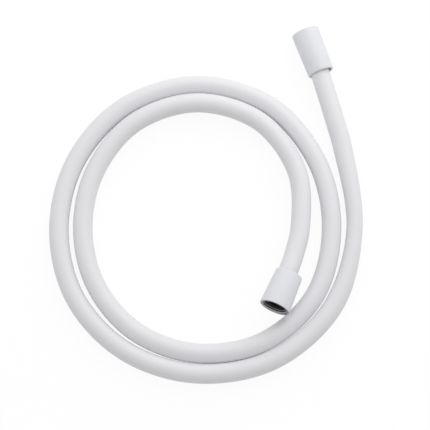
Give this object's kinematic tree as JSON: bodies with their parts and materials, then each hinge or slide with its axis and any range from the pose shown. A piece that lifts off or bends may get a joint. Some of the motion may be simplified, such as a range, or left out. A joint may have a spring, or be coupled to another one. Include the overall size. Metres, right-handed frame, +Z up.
{
  "type": "shower hose",
  "caption": "Smooth white shower hose lying in a loose coil, with a flared union nut on the handset end and a straight union nut on the supply end.",
  "frame": {"origin": "on the surface that the hose lies on, under the middle of the whole part", "axes": "+Z up, +Y towards the supply end of the hose, +X towards the side of the coil that both nuts are on"},
  "size_m": [0.2515, 0.2924, 0.034],
  "materials": {
    "hose_white": "smooth, soft matt white plastic",
    "nut_paint": "satin white paint with a faint blue cast, bare metal inside the thread",
    "tail_brass": "turned",
    "ferrule_steel": "pressed stainless steel",
    "washer_rubber": "black, matt"
  },
  "bodies": {
    "hose_body": {"hose": "hose_white", "handset_washer": "washer_rubber", "handset_tail": "tail_brass", "handset_ferrule": "ferrule_steel", "supply_washer": "washer_rubber", "supply_tail": "tail_brass", "supply_ferrule": "ferrule_steel"},
    "handset_nut_body": {"handset_nut": "nut_paint"},
    "supply_nut_body": {"supply_nut": "nut_paint"}
  },
  "joints": [
    {"name": "handset_nut_spin", "type": "hinge", "parent": "hose_body", "child": "handset_nut_body", "pos_m": [0.0529, -0.088, 0.022], "axis": [-0.3954, -0.9051, 0.1564], "continuous": true},
    {"name": "supply_nut_spin", "type": "hinge", "parent": "hose_body", "child": "supply_nut_body", "pos_m": [0.08075, 0.14247, 0.0114], "axis": [-0.3411, 0.9398, 0.0202], "continuous": true}
  ]
}
